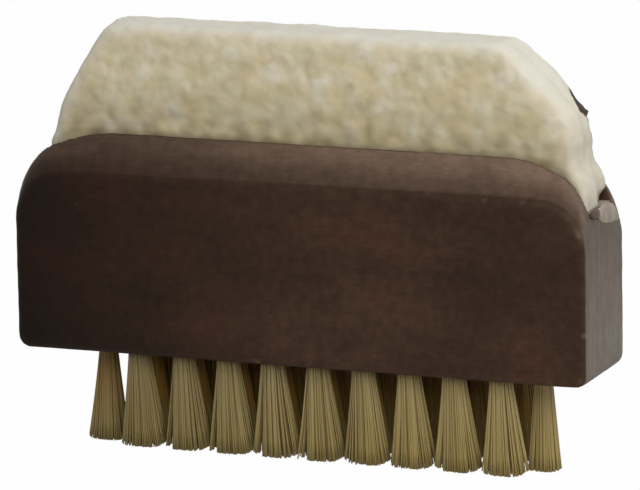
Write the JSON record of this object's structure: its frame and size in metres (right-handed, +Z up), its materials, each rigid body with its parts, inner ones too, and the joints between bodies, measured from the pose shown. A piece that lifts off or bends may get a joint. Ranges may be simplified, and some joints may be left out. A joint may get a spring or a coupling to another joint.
{
  "type": "suede brush",
  "caption": "Two-sided suede brush: a shaped hardwood block with a crepe rubber slab let into its top and trimmed bristle tufts in its underside.",
  "frame": {"origin": "the middle of the brush in plan, on the plane of the bristle tips", "axes": "+X along the block towards the end where the crepe is cut steepest at the knee, -Y out of the front face, +Z up from the bristle tips to the crepe"},
  "size_m": [0.095, 0.0176, 0.0668],
  "materials": {
    "stained_wood": "dark-stained beech, sanded and thinly oiled, matt with open pores",
    "crepe_rubber": "natural crepe rubber, cream, mottled and matt, whiter where it was cut",
    "bristle": "stiff natural bristle, olive tan, slightly glossy along each hair",
    "anchor_brass": "flat brass wire, as drawn and cropped",
    "glue": "dried contact glue, tan and slightly glossy"
  },
  "bodies": {
    "root": {"wooden_block": "stained_wood", "glue_bed": "glue", "crepe_ply_1": "crepe_rubber", "crepe_ply_2": "crepe_rubber", "crepe_ply_3": "crepe_rubber", "crepe_ply_4": "crepe_rubber", "front_tuft_1": "bristle", "front_tuft_2": "bristle", "front_tuft_3": "bristle", "front_tuft_4": "bristle", "front_tuft_5": "bristle", "front_tuft_6": "bristle", "front_tuft_7": "bristle", "front_tuft_8": "bristle", "front_tuft_9": "bristle", "middle_tuft_1": "bristle", "middle_tuft_2": "bristle", "middle_tuft_3": "bristle", "middle_tuft_4": "bristle", "middle_tuft_5": "bristle", "middle_tuft_6": "bristle", "middle_tuft_7": "bristle", "middle_tuft_8": "bristle", "middle_tuft_9": "bristle", "middle_tuft_10": "bristle", "middle_tuft_11": "bristle", "rear_tuft_1": "bristle", "rear_tuft_2": "bristle", "rear_tuft_3": "bristle", "rear_tuft_4": "bristle", "rear_tuft_5": "bristle", "rear_tuft_6": "bristle", "rear_tuft_7": "bristle", "rear_tuft_8": "bristle", "rear_tuft_9": "bristle", "front_anchors": "anchor_brass", "middle_anchors": "anchor_brass", "rear_anchors": "anchor_brass"}
  },
  "joints": []
}
